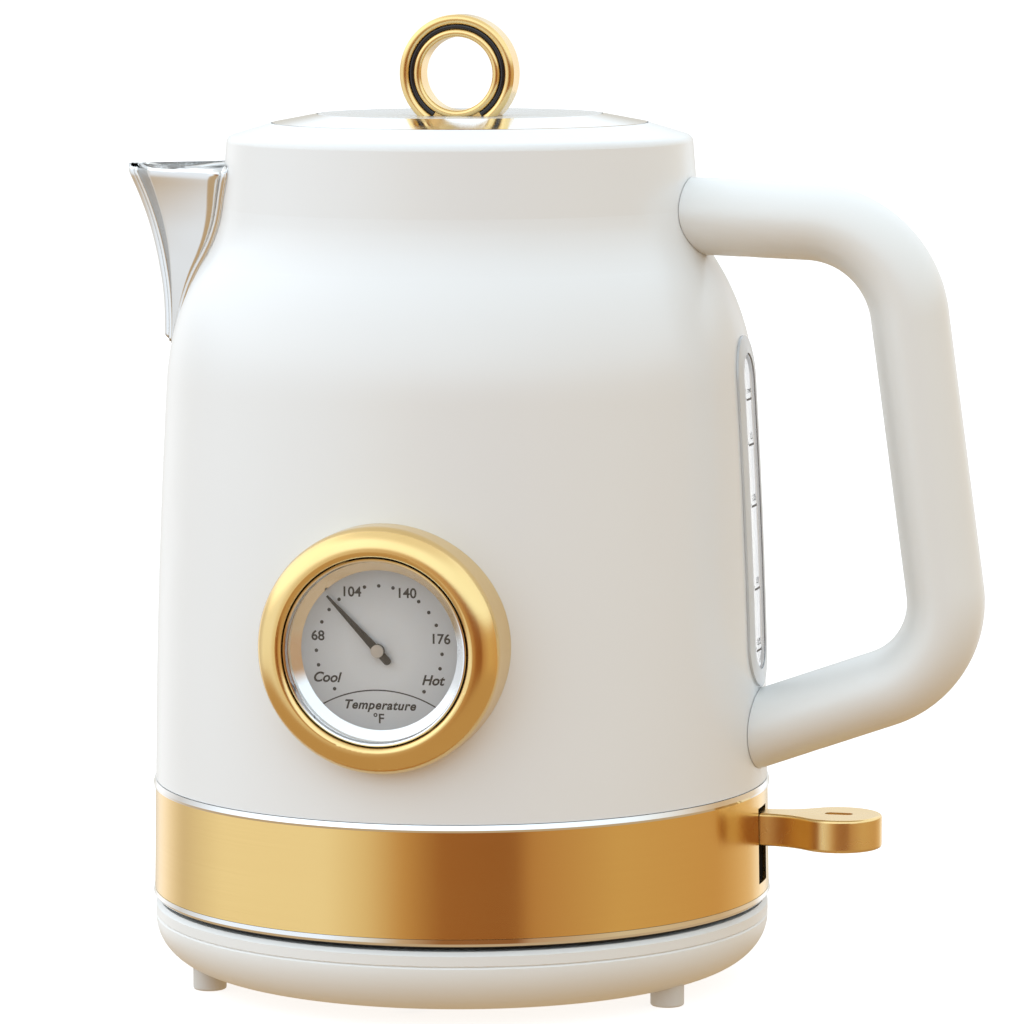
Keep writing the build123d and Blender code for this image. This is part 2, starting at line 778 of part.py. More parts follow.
def make_lever_arm():
    """Moulded arm from the pivot out to the paddle, with a short tail on the other side."""
    arm = block((PIVOT_X, 65.9), (-3.4, 3.4), (PIVOT_Z - 3.4, PIVOT_Z + 3.4))
    arm += block((60, 70.9), (-2.4, 2.4), (PIVOT_Z - 2.4, PIVOT_Z + 2.4))
    arm += cross_pin(PIVOT_X, PIVOT_Z, 4.0, 4.8)
    arm += block((PIVOT_X - 11, PIVOT_X), (-3.0, 3.0), (PIVOT_Z - 1.5, PIVOT_Z + 1.5))
    return arm - lever_pin(FIT)


def make_trip_lever():
    """Rocker of the control: the lever's tail lifts its long arm, its thick short arm balances it."""
    lever = cross_pin(TRIP_X, TRIP_Z, 2.4, 4.2)
    end_x = TRIP_X + TRIP_ARM
    lever += block((TRIP_X, end_x), (-2.5, 2.5), (TRIP_Z - 1.2, TRIP_Z + 1.2))
    foot_low = PIVOT_Z + 1.5 + 0.4
    lever += block((end_x - 1.4, end_x), (-2.5, 2.5), (foot_low, TRIP_Z))
    lever += block((TRIP_X - TRIP_TAIL, TRIP_X), (-4.0, 4.0), (TRIP_Z - 1.2, TRIP_Z + 2.8))
    return lever - trip_pin(FIT)


# ---- cordless connection ------------------------------------------------------------------------

def make_kettle_socket():
    """Round socket in the underside of the kettle."""
    return turned([
        (SOCKET_R, 21.2),
        (SOCKET_R, 36.0),
        (2.05, 36.0),
        (2.05, 34.0),
        (7.6, 34.0),
        (7.6, 33.4),
        (9.6, 33.4),
        (9.6, 34.0),
        (15.6, 34.0),
        (15.6, 21.2),
    ])


def make_socket_live_pin():
    return rod(2.0, 26.0, 36.2)


def make_socket_neutral_ring():
    return tube(8.2, 9.0, 27.0, 33.38)


def make_socket_earth_ring():
    return tube(15.1, 15.58, 24.0, 33.0)


def make_base_connector():
    """Round post of the base with a centre hole and a ring groove for the kettle's contacts."""
    return turned([
        (3.6, 20.5),
        (3.6, 32.6),
        (6.6, 32.6),
        (6.6, 22.0),
        (10.6, 22.0),
        (10.6, 32.6),
        (13.0, 32.6),
        (13.8, 31.8),
        (13.8, 26.0),
        (14.6, 26.0),
        (14.6, 10.0),
        (17.0, 10.0),
        (17.0, BASE_LOW_Z + BASE_WALL + SKIN),
        (3.6, BASE_LOW_Z + BASE_WALL + SKIN),
    ])


def make_base_live_contact():
    return tube(2.5, 3.55, 12.0, 31.0)


def make_base_neutral_contact():
    return tube(9.4, 10.5, 22.05, 30.0)


def make_base_earth_contact():
    return tube(13.85, 14.6, 26.05, 29.5)


# ---- power base ---------------------------------------------------------------------------------

BASE_SCREWS = [polar(50.0, azimuth) for azimuth in (30.0, 150.0, 270.0)]


def edge_profile(inset):
    """Rounded underside of the base from the flat bottom up to the seam, moved in by inset."""
    centre_r = BASE_R - BASE_EDGE_W
    centre_z = BASE_LOW_Z + BASE_EDGE_H
    edge = EllipticalCenterArc(
        (centre_r, centre_z),
        BASE_EDGE_W - inset,
        BASE_EDGE_H - inset,
        start_angle=270,
        arc_size=90,
    )
    low = BASE_LOW_Z + inset
    outer = BASE_R - inset
    top = BASE_SEAM_Z
    bevel = SEAM_BEVEL if inset == 0 else 0.0
    rest = Polyline(
        (outer, centre_z),
        (outer, top - 0.4),
        (outer - bevel, top),
        (0, top),
        (0, low),
        (centre_r, low),
    )
    return make_face([edge, rest])


def make_base_tub():
    """Lower moulding of the base with pockets for the feet and bosses for the screws."""
    outer = revolve(Plane.XZ * edge_profile(0), axis=Axis.Z)
    inner = revolve(Plane.XZ * edge_profile(BASE_WALL), axis=Axis.Z)
    tub = outer - inner
    for azimuth in FOOT_AZIMUTHS:
        tub += rod(6.0, BASE_LOW_Z + 1.5, 8.5, *polar(FOOT_RING_R, azimuth)) & outer
    for x, y in BASE_SCREWS:
        tub += rod(4.0, BASE_LOW_Z + 0.5, 10.0, x, y)
    for azimuth in FOOT_AZIMUTHS:
        tub -= rod(FOOT_PAD_R + FIT, 0, 6.2, *polar(FOOT_RING_R, azimuth))
    tub -= screws_at(BASE_SCREWS, BASE_LOW_Z - 0.1, 3.2, 2.2, 1.5, 20, 0.15)
    tub -= inlet_bar(5.0 + SKIN, GLAND_IN_R - 1, 90)
    return tub


def make_base_feet():
    feet = []
    for azimuth in FOOT_AZIMUTHS:
        pad = rod(FOOT_PAD_R, 0, 6.15, *polar(FOOT_RING_R, azimuth))
        feet.append(fillet(pad.edges().sort_by(Axis.Z)[0], 0.6))
    return feet


def make_base_top():
    """Upper moulding of the base: a shallow dish with a raised land round the connector."""
    top = turned([
        (14.8, 10.2),
        (16.8, 10.2),
        (16.8, 17.2),
        (BASE_R - 2.2, 17.2),
        (BASE_R - 2.2, BASE_SEAM_Z + SKIN),
        (BASE_R - SEAM_BEVEL, BASE_SEAM_Z + SKIN),
        (BASE_R, BASE_SEAM_Z + SEAM_BEVEL),
        (BASE_R, BASE_TOP_Z - 1.0),
        (BASE_R - 1.0, BASE_TOP_Z),
        (60.0, BASE_TOP_Z),
        (59.0, BASE_TOP_Z + 0.8),
        (50.0, BASE_TOP_Z + 0.8),
        (49.0, BASE_TOP_Z),
        (14.8, BASE_TOP_Z),
    ])
    for x, y in BASE_SCREWS:
        top += rod(4.0, 10.05, 18.0, x, y)
    return top - screws_at(BASE_SCREWS, BASE_LOW_Z - 0.1, 3.2, 2.2, 1.5, 13, 0.1)


def make_base_screws():
    return screws_at(BASE_SCREWS, BASE_LOW_Z + 0.2, 3.2, 2.0, 1.5, 12)


def inlet_bar(radius, near, far):
    """Round bar along the cord's way in, between two distances from the axis."""
    x, y = polar(near, INLET_AZIMUTH)
    direction = Vector(x, y, 0).normalized()
    plane = Plane(origin=(x, y, INLET_Z), z_dir=direction)
    return extrude(plane * Circle(radius), amount=far - near)


def make_cord_gland():
    cavity = revolve(Plane.XZ * edge_profile(BASE_WALL + SKIN), axis=Axis.Z)
    flange = inlet_bar(6.4, GLAND_IN_R, 76.0) & cavity
    return inlet_bar(5.0, GLAND_IN_R, GLAND_OUT_R) + flange - inlet_bar(CORD_R, 50, 90)


def make_cord_clamp():
    """Bridge that grips the cord inside the base."""
    clamp = block((-5.5, 5.5), (-3, 3), (BASE_LOW_Z + BASE_WALL + SKIN, 14.5))
    x, y = polar(CLAMP_AT_R, INLET_AZIMUTH)
    return Pos(x, y, 0) * Rot(0, 0, INLET_AZIMUTH - 90) * clamp - inlet_bar(CORD_R, 40, 90)


# ---- files --------------------------------------------------------------------------------------

PARTS = {
    "body_shell": make_body_shell,
    "spout": make_spout,
    "lid_cap": make_lid_cap,
    "lid_disc": make_lid_disc,
    "lid_cup": make_lid_cup,
    "lid_seal": make_lid_seal,
    "lid_ring": make_lid_ring,
    "lid_ring_nut": make_ring_nut,
    "handle_grip": make_handle_grip,
    "handle_upper_bracket": make_upper_bracket,
    "handle_lower_bracket": make_lower_bracket,
    "handle_screws": handle_screws,
    "window_frame": make_window_frame,
    "window_lens": make_window_lens,
    "window_gasket": make_window_gasket,
    "window_clamp": make_window_clamp,
    "gauge_bezel": make_gauge_bezel,
    "gauge_case": make_gauge_case,
    "gauge_gasket": make_gauge_gasket,
    "gauge_nut": make_gauge_nut,
    "gauge_coil": make_gauge_coil,
    "gauge_dial": make_gauge_dial,
    "gauge_inner_ring": make_gauge_inner_ring,
    "gauge_crystal": make_gauge_crystal,
    "gauge_rim": make_gauge_rim,
    "gauge_needle": make_gauge_needle,
    "gauge_hub": make_gauge_hub,
    "gauge_spindle": make_gauge_spindle,
    "gold_band": make_gold_band,
    "upper_trim_ring": make_upper_trim,
    "lower_trim_ring": make_lower_trim,
    "bottom_housing": make_bottom_housing,
    "housing_screws": make_housing_screws,
    "mounting_nuts": make_mounting_nuts,
    "heater_plate": make_heater_plate,
    "heat_spreader": make_heat_spreader,
    "heating_element": make_heating_element,
    "steam_tube": make_steam_tube,
    "tube_grommet": make_tube_grommet,
    "bimetal_disc": make_bimetal_disc,
    "bimetal_carrier": make_bimetal_carrier,
    "control_unit": make_control_unit,
    "control_screws": make_control_screws,
    "lever_paddle": make_lever_paddle,
    "lever_arm": make_lever_arm,
    "lever_pin": lever_pin,
    "trip_lever": make_trip_lever,
    "trip_pin": trip_pin,
    "kettle_socket": make_kettle_socket,
    "socket_live_pin": make_socket_live_pin,
    "socket_neutral_ring": make_socket_neutral_ring,
    "socket_earth_ring": make_socket_earth_ring,
    "base_top": make_base_top,
    "base_tub": make_base_tub,
    "base_feet": make_base_feet,
    "base_screws": make_base_screws,
    "base_connector": make_base_connector,
    "base_contacts": lambda: [
        make_base_live_contact(),
        make_base_neutral_contact(),
        make_base_earth_contact(),
    ],
    "cord_gland": make_cord_gland,
    "cord_clamp": make_cord_clamp,
}

os.makedirs("parts", exist_ok=True)
for name, make in PARTS.items():
    made = make()
    shape = Compound(children=list(made)) if isinstance(made, list) else made
    export_step(shape, f"parts/{name}.step")
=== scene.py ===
import json
import math

import bpy
import bmesh
from mathutils import Matrix, Vector
from mathutils.bvhtree import BVHTree


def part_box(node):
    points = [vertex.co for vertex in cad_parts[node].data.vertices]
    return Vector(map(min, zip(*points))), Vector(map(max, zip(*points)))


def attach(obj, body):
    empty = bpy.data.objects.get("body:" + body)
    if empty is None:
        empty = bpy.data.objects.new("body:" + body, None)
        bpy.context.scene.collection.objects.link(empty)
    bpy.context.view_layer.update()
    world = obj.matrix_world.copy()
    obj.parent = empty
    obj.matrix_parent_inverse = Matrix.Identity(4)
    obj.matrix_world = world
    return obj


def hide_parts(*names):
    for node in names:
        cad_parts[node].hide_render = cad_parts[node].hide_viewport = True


# Looks of the electric kettle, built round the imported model. Metres, +Z up.
# +X points to the handle, -X to the spout, and the thermometer faces -Y.

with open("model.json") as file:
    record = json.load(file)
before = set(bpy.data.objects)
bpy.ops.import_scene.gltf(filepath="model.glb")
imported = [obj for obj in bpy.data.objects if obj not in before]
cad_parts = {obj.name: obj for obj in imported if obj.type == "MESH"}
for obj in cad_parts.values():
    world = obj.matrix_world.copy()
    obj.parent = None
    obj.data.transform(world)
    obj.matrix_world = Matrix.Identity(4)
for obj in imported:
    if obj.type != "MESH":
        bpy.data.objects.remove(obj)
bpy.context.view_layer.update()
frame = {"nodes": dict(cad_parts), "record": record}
nodes = frame["nodes"]

MM = 0.001


# ---- material helpers ---------------------------------------------------------------------------

def new_material(name, colour, rough, metal=0.0, **sockets):
    """Principled material whose constants sit on the shader's own sockets."""
    material = bpy.data.materials.new(name)
    material.use_nodes = True
    shader = material.node_tree.nodes["Principled BSDF"]
    shader.inputs["Base Color"].default_value = (*colour, 1.0)
    shader.inputs["Roughness"].default_value = rough
    shader.inputs["Metallic"].default_value = metal
    for socket, value in sockets.items():
        shader.inputs[socket.replace("_", " ")].default_value = value
    return material


def add_node(material, kind, **settings):
    node = material.node_tree.nodes.new(kind)
    for key, value in settings.items():
        setattr(node, key, value)
    return node


def link(material, source, target):
    material.node_tree.links.new(source, target)


def shader_of(material):
    return material.node_tree.nodes["Principled BSDF"]


def place_coordinates(material, stretch=(1.0, 1.0, 1.0)):
    """Object coordinates, scaled on each axis."""
    where = add_node(material, "ShaderNodeTexCoord")
    scale = add_node(material, "ShaderNodeMapping")
    scale.inputs["Scale"].default_value = stretch
    link(material, where.outputs["Object"], scale.inputs["Vector"])
    return scale.outputs["Vector"]


def round_coordinates(material, around, along):
    """Coordinates (angle about Z times around, z times along), for marks that run round the object."""
    where = add_node(material, "ShaderNodeTexCoord")
    split = add_node(material, "ShaderNodeSeparateXYZ")
    angle = add_node(material, "ShaderNodeMath", operation="ARCTAN2")
    across = add_node(material, "ShaderNodeMath", operation="MULTIPLY")
    up = add_node(material, "ShaderNodeMath", operation="MULTIPLY")
    joined = add_node(material, "ShaderNodeCombineXYZ")
    across.inputs[1].default_value = around
    up.inputs[1].default_value = along
    link(material, where.outputs["Object"], split.inputs["Vector"])
    link(material, split.outputs["Y"], angle.inputs[0])
    link(material, split.outputs["X"], angle.inputs[1])
    link(material, angle.outputs[0], across.inputs[0])
    link(material, split.outputs["Z"], up.inputs[0])
    link(material, across.outputs[0], joined.inputs["X"])
    link(material, up.outputs[0], joined.inputs["Y"])
    return joined.outputs["Vector"]


def noise_value(material, coordinates, scale, detail=3.0):
    noise = add_node(material, "ShaderNodeTexNoise")
    noise.inputs["Scale"].default_value = scale
    noise.inputs["Detail"].default_value = detail
    link(material, coordinates, noise.inputs["Vector"])
    return noise.outputs["Fac"]


def spread(material, value, low, high, source_low=0.2, source_high=0.8):
    """Noise between two values."""
    ranged = add_node(material, "ShaderNodeMapRange", interpolation_type="SMOOTHSTEP")
    ranged.inputs["From Min"].default_value = source_low
    ranged.inputs["From Max"].default_value = source_high
    ranged.inputs["To Min"].default_value = low
    ranged.inputs["To Max"].default_value = high
    link(material, value, ranged.inputs["Value"])
    return ranged.outputs["Result"]


def vary_roughness(material, value, low, high):
    link(material, spread(material, value, low, high), shader_of(material).inputs["Roughness"])


def vary_colour(material, value, first, second):
    mix = add_node(material, "ShaderNodeMix", data_type="RGBA")
    mix.inputs["A"].default_value = (*first, 1.0)
    mix.inputs["B"].default_value = (*second, 1.0)
    link(material, spread(material, value, 0.0, 1.0), mix.inputs["Factor"])
    link(material, mix.outputs["Result"], shader_of(material).inputs["Base Color"])


def add_bump(material, value, height, strength):
    bump = add_node(material, "ShaderNodeBump")
    bump.inputs["Strength"].default_value = strength
    bump.inputs["Distance"].default_value = height
    link(material, value, bump.inputs["Height"])
    link(material, bump.outputs["Normal"], shader_of(material).inputs["Normal"])


# ---- materials ----------------------------------------------------------------------------------

def painted_white():
    """Satin enamel with the faint ripple of sprayed paint."""
    paint = new_material("white_enamel", (0.80, 0.81, 0.81), 0.30, Coat_Weight=0.25, Coat_Roughness=0.12)
    ripple = noise_value(paint, place_coordinates(paint), 420.0, 2.0)
    cloud = noise_value(paint, place_coordinates(paint), 24.0, 2.0)
    vary_colour(paint, cloud, (0.803, 0.816, 0.815), (0.795, 0.807, 0.805))
    vary_roughness(paint, cloud, 0.28, 0.32)
    add_bump(paint, ripple, 0.012 * MM, 0.15)
    return paint


def moulded_white():
    """Moulded plastic in the same white, with a fine grain."""
    plastic = new_material("white_plastic", (0.80, 0.81, 0.80), 0.34, Coat_Weight=0.12, Coat_Roughness=0.2)
    grain = noise_value(plastic, place_coordinates(plastic), 1500.0, 2.0)
    cloud = noise_value(plastic, place_coordinates(plastic), 24.0, 2.0)
    vary_colour(plastic, cloud, (0.80, 0.812, 0.80), (0.79, 0.80, 0.785))
    vary_roughness(plastic, cloud, 0.32, 0.37)
    add_bump(plastic, grain, 0.008 * MM, 0.15)
    return plastic


def brushed_gold():
    """Gold plate with fine lines that run round the band."""
    gold = new_material("brushed_gold", (0.80, 0.56, 0.225), 0.20, 1.0,
                        Anisotropic=0.5, Anisotropic_Rotation=0.25)
    lines = noise_value(gold, round_coordinates(gold, 0.6, 16000.0), 1.0, 2.0)
    vary_colour(gold, lines, (0.815, 0.575, 0.235), (0.785, 0.54, 0.21))
    vary_roughness(gold, lines, 0.17, 0.23)
    tangent = add_node(gold, "ShaderNodeTangent", direction_type="RADIAL", axis="Z")
    link(gold, tangent.outputs["Tangent"], shader_of(gold).inputs["Tangent"])
    return gold


def satin_gold(name, first, second, rough_low, rough_high):
    """Plated gold with a soft polish."""
    gold = new_material(name, first, rough_low, 1.0)
    cloud = noise_value(gold, place_coordinates(gold), 90.0, 3.0)
    vary_colour(gold, cloud, first, second)
    vary_roughness(gold, cloud, rough_low, rough_high)
    return gold


def polished_steel():
    """Mirror-polished stainless steel with faint wipe marks."""
    steel = new_material("polished_steel", (0.82, 0.82, 0.81), 0.07, 1.0)
    wipes = noise_value(steel, place_coordinates(steel, (60.0, 60.0, 12.0)), 3.0, 4.0)
    vary_roughness(steel, wipes, 0.04, 0.12)
    return steel


def spout_steel():
    """Steel of the spout, polished to a soft sheen."""
    steel = new_material("spout_steel", (0.80, 0.80, 0.79), 0.2, 1.0)
    marks = noise_value(steel, place_coordinates(steel, (20.0, 20.0, 60.0)), 3.0, 3.0)
    vary_roughness(steel, marks, 0.17, 0.23)
    return steel


def satin_steel():
    steel = new_material("satin_steel", (0.62, 0.62, 0.61), 0.3, 1.0)
    lines = noise_value(steel, round_coordinates(steel, 1.5, 2600.0), 1.0, 3.0)
    vary_roughness(steel, lines, 0.22, 0.38)
    add_bump(steel, lines, 0.005 * MM, 0.3)
    return steel


def grey_metal_disc():
    """Pale satin disc on the lid, turned on a lathe."""
    disc = new_material("pale_grey_lacquer", (0.66, 0.68, 0.70), 0.28, 0.25, Coat_Weight=0.4)
    cloud = noise_value(disc, place_coordinates(disc), 60.0, 3.0)
    vary_colour(disc, cloud, (0.67, 0.69, 0.71), (0.65, 0.67, 0.685))
    vary_roughness(disc, cloud, 0.24, 0.32)
    return disc


def plain_plastic(name, colour, low, high, grain=0.01):
    plastic = new_material(name, colour, low)
    fine = noise_value(plastic, place_coordinates(plastic), 1400.0, 2.0)
    cloud = noise_value(plastic, place_coordinates(plastic), 60.0, 2.0)
    darker = tuple(channel * 0.9 for channel in colour)
    vary_colour(plastic, cloud, colour, darker)
    vary_roughness(plastic, cloud, low, high)
    add_bump(plastic, fine, grain * MM, 0.3)
    return plastic


def plain_metal(name, colour, low, high):
    metal = new_material(name, colour, low, 1.0)
    cloud = noise_value(metal, place_coordinates(metal), 220.0, 3.0)
    darker = tuple(channel * 0.85 for channel in colour)
    vary_colour(metal, cloud, colour, darker)
    vary_roughness(metal, cloud, low, high)
    return metal


def clear_plastic(name, tint, rough):
    clear = new_material(name, tint, rough, Transmission_Weight=1.0, IOR=1.45)
    marks = noise_value(clear, place_coordinates(clear), 40.0, 3.0)
    vary_roughness(clear, marks, rough, rough + 0.03)
    return clear


def dial_paint():
    """Silver dial with painted shade that darkens it towards its edge, under the rim."""
    paint = new_material("dial_silver", (0.60, 0.62, 0.64), 0.45, 0.1)
    cloud = noise_value(paint, place_coordinates(paint), 120.0, 2.0)
    low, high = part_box("gauge_dial")
    centre = (low + high) / 2
    where = add_node(paint, "ShaderNodeTexCoord")
    apart = add_node(paint, "ShaderNodeVectorMath", operation="DISTANCE")
    apart.inputs[1].default_value = centre
    link(paint, where.outputs["Object"], apart.inputs[0])
    # Painted shade: the dial's colour darkens from 8 mm out to its edge, where the rim would shade it.
    ramp = add_node(paint, "ShaderNodeMapRange")
    ramp.inputs["From Min"].default_value = 8 * MM
    ramp.inputs["From Max"].default_value = 19 * MM
    link(paint, apart.outputs["Value"], ramp.inputs["Value"])
    mix = add_node(paint, "ShaderNodeMix", data_type="RGBA")
    mix.inputs["A"].default_value = (0.80, 0.82, 0.83, 1.0)
    mix.inputs["B"].default_value = (0.60, 0.62, 0.64, 1.0)
    link(paint, ramp.outputs["Result"], mix.inputs["Factor"])
    link(paint, mix.outputs["Result"], shader_of(paint).inputs["Base Color"])
    vary_roughness(paint, cloud, 0.42, 0.46)
    return paint


MATERIALS = {
    "white_paint": painted_white(),
    "white_plastic": moulded_white(),
    "polished_steel": polished_steel(),
    "lid_grey": grey_metal_disc(),
    "inner_steel": satin_steel(),
    "silicone": plain_plastic("silicone", (0.70, 0.70, 0.68), 0.5, 0.62),
    "gold_polished": satin_gold("polished_gold", (0.82, 0.60, 0.27), (0.80, 0.575, 0.25), 0.17, 0.22),
    "gold_brushed": brushed_gold(),
    "gold_lever": satin_gold("lever_gold", (0.82, 0.60, 0.28), (0.79, 0.565, 0.25), 0.24, 0.30),
    "screw_steel": plain_metal("screw_steel", (0.55, 0.55, 0.55), 0.25, 0.4),
    "window_grey": plain_plastic("window_grey", (0.60, 0.63, 0.65), 0.16, 0.24),
    "window_clear": clear_plastic("window_clear", (0.93, 0.95, 0.96), 0.04),
    "bimetal": plain_metal("bimetal", (0.60, 0.42, 0.25), 0.3, 0.45),
    "dial_face": dial_paint(),
    "crystal": clear_plastic("crystal", (1.0, 1.0, 1.0), 0.0),
    "needle_black": plain_plastic("needle_black", (0.015, 0.015, 0.015), 0.3, 0.4),
    "black_plastic": plain_plastic("black_plastic", (0.015, 0.015, 0.015), 0.4, 0.55, 0.02),
    "spreader_aluminium": plain_metal("spreader_aluminium", (0.68, 0.68, 0.68), 0.35, 0.5),
    "element_sheath": plain_metal("element_sheath", (0.32, 0.31, 0.29), 0.4, 0.55),
    "control_red": plain_plastic("control_red", (0.35, 0.03, 0.02), 0.4, 0.5),
    "contact_brass": plain_metal("contact_brass", (0.66, 0.47, 0.20), 0.25, 0.4),
    "foot_pad": plain_plastic("foot_pad", (0.66, 0.65, 0.62), 0.45, 0.6),
    "black_rubber": plain_plastic("black_rubber", (0.02, 0.02, 0.02), 0.55, 0.7, 0.02),
}
PRINT_BLACK = plain_plastic("print_black", (0.02, 0.02, 0.022), 0.4, 0.5, 0.0)
SPOUT_STEEL = spout_steel()
BLACK_INLAY = plain_plastic("black_enamel_inlay", (0.012, 0.012, 0.016), 0.10, 0.16, 0.0)


def paint_nodes():
    """Gives every carried-over node the material of its slot."""
    for entry in frame["record"]["subparts"]:
        node = nodes[entry["node"]]
        node.data.materials.clear()
        node.data.materials.append(MATERIALS[entry["material_slot"]])


paint_nodes()
for clear_node in ("gauge_crystal", "window_lens"):
    nodes[clear_node].visible_shadow = False


# ---- shape helpers ------------------------------------------------------------------------------

def add_piece(name, data, material, body):
    """New piece that rides on a body."""
    piece = bpy.data.objects.new(name, data)
    data.materials.append(material)
    bpy.context.scene.collection.objects.link(piece)
    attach(piece, body)
    return piece


def skin_mesh(name, rows, closed=False):
    """Smooth mesh through rows of points, each row as long as the next."""
    mesh = bpy.data.meshes.new(name)
    shape = bmesh.new()
    grid = [[shape.verts.new(point) for point in row] for row in rows]
    last = len(grid[0]) if closed else len(grid[0]) - 1
    for low, high in zip(grid, grid[1:]):
        for place in range(last):
            after = (place + 1) % len(low)
            shape.faces.new((low[place], low[after], high[after], high[place]))
    bmesh.ops.recalc_face_normals(shape, faces=shape.faces)
    for face in shape.faces:
        face.smooth = True
    shape.to_mesh(mesh)
    shape.free()
    return mesh


def surface_tree(node):
    """Search tree of a CAD node's surface, for finding points on it."""
    mesh = nodes[node].data
    corners = [vertex.co for vertex in mesh.vertices]
    faces = [tuple(polygon.vertices) for polygon in mesh.polygons]
    return BVHTree.FromPolygons(corners, faces)


def add_text(name, words, size, place, body, facing, slant=0.0, weight=0.0):
    """Flat printed words, centred on a place."""
    data = bpy.data.curves.new(name, "FONT")
    data.body = words
    data.size = size
    data.align_x = "CENTER"
    data.align_y = "CENTER"
    data.shear = slant
    data.offset = weight
    data.extrude = 0.01 * MM
    piece = add_piece(name, data, PRINT_BLACK, body)
    piece.matrix_world = Matrix.Translation(place) @ facing
    return piece


# ---- thermometer printing -----------------------------------------------------------------------

DIAL_LOW, DIAL_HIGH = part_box("gauge_dial")
DIAL_CENTRE = (DIAL_LOW + DIAL_HIGH) / 2
DIAL_FACE_Y = DIAL_LOW.y
DIAL_SEEN_R = 19.1 * MM
DOT_STEP = 13.1
DOTS_EACH_SIDE = 10
DIAL_NUMBERS = {-6: "68", -2: "104", 2: "140", 6: "176"}
DIAL_WORDS = {-9: "Cool", 9: "Hot"}
# Where the print stands, in shares of the dial's seen radius.
NUMBER_AT = 0.80
WORD_AT = 0.77
DOT_AT = 0.805
LAST_DOT_AT = 0.76
DOT_R = 0.44 * MM
FACING_FRONT = Matrix.Rotation(math.radians(90), 4, "X")


def on_dial(across, up, proud=0.03):
    """Point on the dial, in shares of its seen radius from the centre."""
    x = DIAL_CENTRE.x + across * DIAL_SEEN_R
    z = DIAL_CENTRE.z + up * DIAL_SEEN_R
    return Vector((x, DIAL_FACE_Y - proud * MM, z))


def dial_ray(step, share):
    angle = math.radians(step * DOT_STEP)
    return math.sin(angle) * share, math.cos(angle) * share


def flat_dot(name, centre, radius):
    """Round spot of print, slightly domed."""
    rows = []
    for share, height in ((1.0, 0.0), (0.9, 0.012), (0.5, 0.02), (0.02, 0.022)):
        row = []
        for step in range(20):
            angle = step / 20 * 2 * math.pi
            offset = Vector((math.cos(angle), 0, math.sin(angle))) * radius * share
            row.append(centre + offset - Vector((0, height * MM, 0)))
        rows.append(row)
    return add_piece(name, skin_mesh(name, rows, closed=True), PRINT_BLACK, "kettle")


def print_dial():
    """Dots, numbers and words of the thermometer's scale."""
    printed = []
    for step in range(-DOTS_EACH_SIDE, DOTS_EACH_SIDE + 1):
        if step in DIAL_NUMBERS:
            place = on_dial(*dial_ray(step, NUMBER_AT))
            printed.append(add_text(f"dial_number_{DIAL_NUMBERS[step]}", DIAL_NUMBERS[step], 3.3 * MM,
                                    place, "kettle", FACING_FRONT, weight=0.07 * MM))
        elif step in DIAL_WORDS:
            place = on_dial(*dial_ray(step, WORD_AT))
            printed.append(add_text(f"dial_word_{DIAL_WORDS[step]}", DIAL_WORDS[step], 3.3 * MM,
                                    place, "kettle", FACING_FRONT, slant=0.28, weight=0.09 * MM))
        else:
            share = LAST_DOT_AT if abs(step) == DOTS_EACH_SIDE else DOT_AT
            centre = on_dial(*dial_ray(step, share))
            printed.append(flat_dot(f"dial_dot_{step + DOTS_EACH_SIDE}", centre, DOT_R))
    title = add_text("dial_word_temperature", "Temperature", 3.0 * MM, on_dial(0.0, -0.69),
                     "kettle", FACING_FRONT, slant=0.28, weight=0.09 * MM)
    title.data.space_character = 1.1
    unit = add_text("dial_unit", "\u00b0F", 3.2 * MM, on_dial(-0.01, -0.86), "kettle", FACING_FRONT,
                    weight=0.06 * MM)
    return printed + [title, unit]


def print_dial_arc():
    """Thin line that bulges up above the word at the foot of the dial."""
    top = -0.50
    end_across, end_up = 0.72, -0.69
    drop = top - end_up
    radius = (end_across ** 2 + drop ** 2) / (2 * drop)
    widest = math.asin(end_across / radius)
    rows = []
    steps = 48
    for step in range(steps + 1):
        angle = -widest + 2 * widest * step / steps
        row = []
        for offset in (-0.008, 0.008):
            across = math.sin(angle) * (radius + offset)
            up = top - radius + math.cos(angle) * (radius + offset)
            row.append(on_dial(across, up, 0.035))
        rows.append(row)
    return add_piece("dial_arc_line", skin_mesh("dial_arc_line", rows), PRINT_BLACK, "kettle")


for printed_piece in print_dial() + [print_dial_arc()]:
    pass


# ---- water window scale -------------------------------------------------------------------------

LEVEL_MARKS = [(146.9, "1.7 MAX"), (135.7, "1.5"), (120.5, "1.25"), (99.9, "1.0"), (84.6, "0.75")]
MARK_SPAN = (-5.2, 0.4)
LENS_TREE = surface_tree("window_lens")


def on_lens(y, z, proud):
    """Point on the lens of the water window, which faces +X; y, z and proud in mm."""
    start = Vector((0.2, y * MM, z * MM))
    hit = LENS_TREE.ray_cast(start, Vector((-1, 0, 0)))[0]
    return hit + Vector((proud * MM, 0, 0))


def print_level_mark(z, words):
    """Level line with its number just above it."""
    half = 0.28
    rows = []
    for step in range(9):
        y = MARK_SPAN[0] + (MARK_SPAN[1] - MARK_SPAN[0]) * step / 8
        rows.append([on_lens(y, z - half, 0.03), on_lens(y, z, 0.05), on_lens(y, z + half, 0.03)])
    name = "level_line_" + words.replace(" ", "_")
    line = add_piece(name, skin_mesh(name, rows), PRINT_BLACK, "kettle")
    low = on_lens(-2.4, z + 1.0, 0.05)
    high = on_lens(-2.4, z + 3.0, 0.05)
    lean = math.atan2(low.x - high.x, high.z - low.z)
    facing = Matrix.Rotation(-lean, 4, "Y") @ Matrix.Rotation(math.radians(90), 4, "Z") @ FACING_FRONT
    size = 1.5 if " " in words else 2.4
    number = add_text(f"level_number_{words.replace(' ', '_')}", words, size * MM, (low + high) / 2,
                      "kettle", facing)
    return [line, number]


